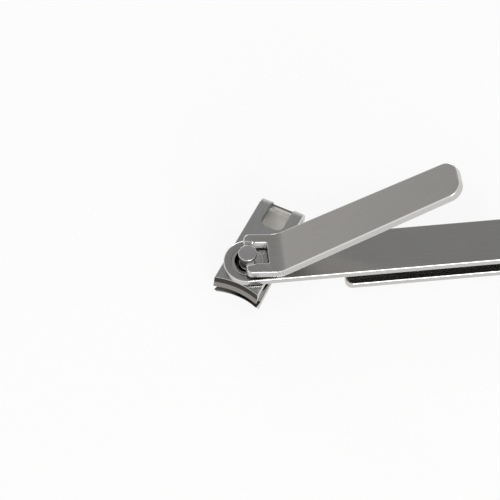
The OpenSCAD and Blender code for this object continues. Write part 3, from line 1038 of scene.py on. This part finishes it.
        def place(x, y, depth):
            if x <= 0:
                angle, along = -s.front_tilt, x
            elif x < bend_length:
                angle, along = -s.front_tilt + turn * x / bend_length, 0
            else:
                angle, along = s.rear_rise, x - bend_length
            down = -(s.knee_radius + depth)
            return knee + Vector((along * math.cos(angle) - down * math.sin(angle), y,
                                  along * math.sin(angle) + down * math.cos(angle)))

        look = context.scene.clipper_look
        steel = brushed_stainless("brushed_stainless_lever", look.lever, 0.22)
        dress(strip.bend("lever_strip", place), "lever", "lever_steel",
              [steel, polished_edge(), sheared_wall(), punched_wall_painted_shade(),
               painted_light_steel("broken_stainless_window", look.painted_light_colour)], "lever")
        return {"FINISHED"}


# ---------------------------------------------------------------- stage

def toward(az, el):
    """The direction that a compass angle and a height lead to, from the object."""
    return Vector((math.sin(az) * math.cos(el), -math.cos(az) * math.cos(el), math.sin(el)))


def make_camera(s):
    """The camera, fitted to the image points."""
    data = bpy.data.cameras.new("camera")
    data.sensor_fit, data.sensor_width, data.lens = "AUTO", 36, s.lens
    data.clip_start, data.clip_end = 0.01, 10
    camera = linked("camera", data)
    back = toward(s.azimuth, s.elevation)
    right = Vector((math.cos(s.azimuth), math.sin(s.azimuth), 0))
    up = back.cross(right)
    c, d = math.cos(s.roll), math.sin(s.roll)
    axes = Matrix((right * c + up * d, up * c - right * d, back)).transposed()
    place = Matrix.Translation((s.camera_x, s.camera_y, s.camera_z))
    camera.matrix_world = place @ axes.to_4x4()
    return camera


def white_card(s):
    """Matt white card: a paper floor that glows a little wherever it is seen or mirrored.

    The glow keeps it near white, and the share that is lit keeps the object's shadow.
    """
    material = bpy.data.materials.new("matt_white_card")
    material.use_nodes = True
    tree = material.node_tree
    card = tree.nodes["Principled BSDF"]
    card.inputs["Base Color"].default_value = linear(s.floor)
    card.inputs["Roughness"].default_value = 0.9
    card.inputs["Specular IOR Level"].default_value = 0
    path = node(tree, "ShaderNodeLightPath")
    seen = node(tree, "ShaderNodeMath", {"operation": "MAXIMUM"},
                {0: path.outputs["Is Camera Ray"], 1: path.outputs["Is Glossy Ray"]})
    share = node(tree, "ShaderNodeMath", {"operation": "MULTIPLY", 1: s.glow_share},
                 {0: seen.outputs["Value"]})
    glow = node(tree, "ShaderNodeEmission", {"Color": (1, 1, 1, 1), "Strength": s.glow})
    both = node(tree, "ShaderNodeMixShader", (), {0: share.outputs["Value"],
                                                  1: card.outputs["BSDF"],
                                                  2: glow.outputs["Emission"]})
    tree.links.new(both.outputs["Shader"], tree.nodes["Material Output"].inputs["Surface"])
    return material


# Brightness of the room from the horizon, 0, to overhead, 1: white walls under a greyer
# ceiling. The wall in front of the object is white to a greater height.
WALL_BEHIND = ((0, 1), (0.18, 0.95), (0.34, 0.62), (0.6, 0.48), (0.85, 0.37), (1, 0.4))
WALL_IN_FRONT = ((0, 1), (0.2, 1), (0.5, 1), (0.68, 0.55), (0.85, 0.37), (1, 0.4))


def make_room():
    """The world: a soft white studio."""
    world = bpy.data.worlds.new("soft_studio")
    world.use_nodes = True
    tree = world.node_tree
    place = node(tree, "ShaderNodeTexCoord")
    split = node(tree, "ShaderNodeSeparateXYZ", links={0: place.outputs["Generated"]})
    walls = []
    for stops in (WALL_BEHIND, WALL_IN_FRONT):
        ramp = node(tree, "ShaderNodeValToRGB", links={"Fac": split.outputs["Z"]})
        elements = ramp.color_ramp.elements
        while len(elements) < len(stops):
            elements.new(0.5)
        for element, (at, value) in zip(elements, stops):
            element.position = at
            element.color = (value, value, value, 1)
        walls.append(ramp.outputs["Color"])
    front = node(tree, "ShaderNodeMapRange",
                 {"interpolation_type": "SMOOTHSTEP", "From Min": 0.1, "From Max": -0.5},
                 {"Value": split.outputs["Y"]})
    sky = node(tree, "ShaderNodeMix", {"data_type": "RGBA"},
               {"Factor": front.outputs["Result"], 6: walls[0], 7: walls[1]})
    background = tree.nodes["Background"]
    tree.links.new(sky.outputs[2], background.inputs["Color"])
    background.inputs["Strength"].default_value = 1
    return world


# Name, azimuth and elevation in degrees, distance and size in metres, and power in watts
LAMPS = (("key", 12, 17, 0.8, 0.4, 3.0), ("rim", -172, 24, 0.9, 0.25, 0.8))


class CLIPPER_OT_stage(bpy.types.Operator):
    """Make the floor, the soft light and the camera"""
    bl_idname = "clipper.stage"
    bl_label = "Stage"

    def execute(self, context):
        s = context.scene.clipper_stage
        scene = context.scene
        scene.view_settings.view_transform = "Standard"
        scene.camera = make_camera(s)
        scene.world = make_room()
        half = s.floor_size / 2
        mesh = bpy.data.meshes.new("floor")
        mesh.from_pydata([(-half, -half, 0), (half, -half, 0), (half, half, 0), (-half, half, 0)],
                         [], [(0, 1, 2, 3)])
        mesh.materials.append(white_card(s))
        floor = linked("floor", mesh)
        # A hair below the foot, so that the two faces don't share a plane
        floor.location.z = CAD_LOW.z - 0.02 * MM
        middle = (CAD_LOW + CAD_HIGH) / 2
        for name, az, el, away, size, power in LAMPS:
            lamp = bpy.data.lights.new(name, "AREA")
            lamp.size, lamp.energy = size, power
            way = toward(math.radians(az), math.radians(el))
            light = linked(name, lamp)
            light.location = middle + way * away
            light.rotation_euler = way.to_track_quat("Z", "Y").to_euler()
        return {"FINISHED"}


def image_ray(x, y):
    """The camera's place and the direction of its ray through an image point."""
    camera = bpy.context.scene.camera
    data = camera.data
    way = Vector((x - IMAGE_SIZE / 2 + data.shift_x * IMAGE_SIZE,
                  IMAGE_SIZE / 2 - y + data.shift_y * IMAGE_SIZE,
                  -IMAGE_SIZE * data.lens / data.sensor_width))
    return camera.matrix_world.translation, (camera.matrix_world.to_3x3() @ way).normalized()


def image_place(point):
    """Where a place shows in the image: the inverse of image_ray."""
    camera = bpy.context.scene.camera
    data = camera.data
    local = camera.matrix_world.inverted() @ point
    scale = IMAGE_SIZE * data.lens / data.sensor_width / -local.z
    return ((0.5 - data.shift_x) * IMAGE_SIZE + local.x * scale,
            (0.5 + data.shift_y) * IMAGE_SIZE - local.y * scale)


def on_surface(x, y, tree, vertices):
    """Where an image point's ray meets a piece; a miss takes the vertex nearest the ray."""
    start, way = image_ray(x, y)
    hit = tree.ray_cast(start, way)[0]
    return hit or min(vertices, key=lambda v: (v - start).cross(way).length)


def in_sight(spot, start, trees):
    """Whether nothing stands more than 0.15 mm in front of a place."""
    reach = (spot - start).length - 0.15 * MM
    hits = (tree.ray_cast(start, spot - start)[0] for tree in trees)
    return all(hit is None or (hit - start).length > reach for hit in hits)


def report_points():
    """Works out how far each named feature shows from its image point; the results are not kept.
    """
    graph = bpy.context.evaluated_depsgraph_get()
    pieces, trees = {}, {}
    for _, _, name, _ in IMAGE_POINTS.values():
        if name not in trees:
            mesh = bpy.data.objects[name].evaluated_get(graph).to_mesh()
            spots = [v.co.copy() for v in mesh.vertices]
            pieces[name] = spots, [Vector(d.vector) for d in mesh.attributes["lay"].data]
            trees[name] = BVHTree.FromPolygons(spots, [tuple(p.vertices) for p in mesh.polygons])
    start = bpy.context.scene.camera.matrix_world.translation
    for label, (x, y, name, place) in IMAGE_POINTS.items():
        spots, lay = pieces[name]
        if place is None:
            # A turned head shows as a disc, whose middle is taken from its top ring
            top = max(v.z for v in spots)
            ring = [v for v in spots if v.z > top - 0.02 * MM]
            spot = sum(ring, Vector()) / len(ring)
        else:
            near = sorted(range(len(spots)), key=lambda i: (lay[i] - Vector(place)).length)[:40]
            seen = [i for i in near if in_sight(spots[i], start, trees.values())]
            spot = spots[(seen or near)[0]]
        shown = image_place(spot)
        off_surface = (on_surface(x, y, trees[name], spots) - spot).length


class CLIPPER_PT_pieces(bpy.types.Panel):
    """The sizes, the colours and the pieces, in the sidebar"""
    bl_label = "Nail Clipper"
    bl_idname = "CLIPPER_PT_pieces"
    bl_space_type = "VIEW_3D"
    bl_region_type = "UI"
    bl_category = "Clipper"

    def draw(self, context):
        for group in GROUPS:
            box = self.layout.box()
            settings = getattr(context.scene, group)
            for key in settings.bl_rna.properties.keys():
                if key not in ("rna_type", "name"):
                    box.prop(settings, key)
            for operator, sizes in PIECES:
                if sizes == group:
                    box.operator(operator.bl_idname)


PIECES = ((CLIPPER_OT_handle, "clipper_handle"), (CLIPPER_OT_jaws, "clipper_head"),
          (CLIPPER_OT_swivel, "clipper_head"), (CLIPPER_OT_pin, "clipper_pin"),
          (CLIPPER_OT_lever, "clipper_lever"), (CLIPPER_OT_stage, "clipper_stage"))
GROUPS = {"clipper_handle": HandleSizes, "clipper_head": HeadSizes, "clipper_pin": PinSizes,
          "clipper_lever": LeverSizes, "clipper_look": SteelLook, "clipper_stage": StageSetup}


def register():
    for group in GROUPS.values():
        bpy.utils.register_class(group)
    for name, group in GROUPS.items():
        setattr(bpy.types.Scene, name, PointerProperty(type=group))
    for operator, _ in PIECES:
        bpy.utils.register_class(operator)
    bpy.utils.register_class(CLIPPER_PT_pieces)


def unregister():
    bpy.utils.unregister_class(CLIPPER_PT_pieces)
    for operator, _ in reversed(PIECES):
        bpy.utils.unregister_class(operator)
    for name, group in GROUPS.items():
        delattr(bpy.types.Scene, name)
        bpy.utils.unregister_class(group)


def main():
    register()
    for made in ("stage", "handle", "jaws", "swivel", "pin", "lever"):
        getattr(bpy.ops.clipper, made)()
    report_points()


if __name__ == "__main__":
    main()
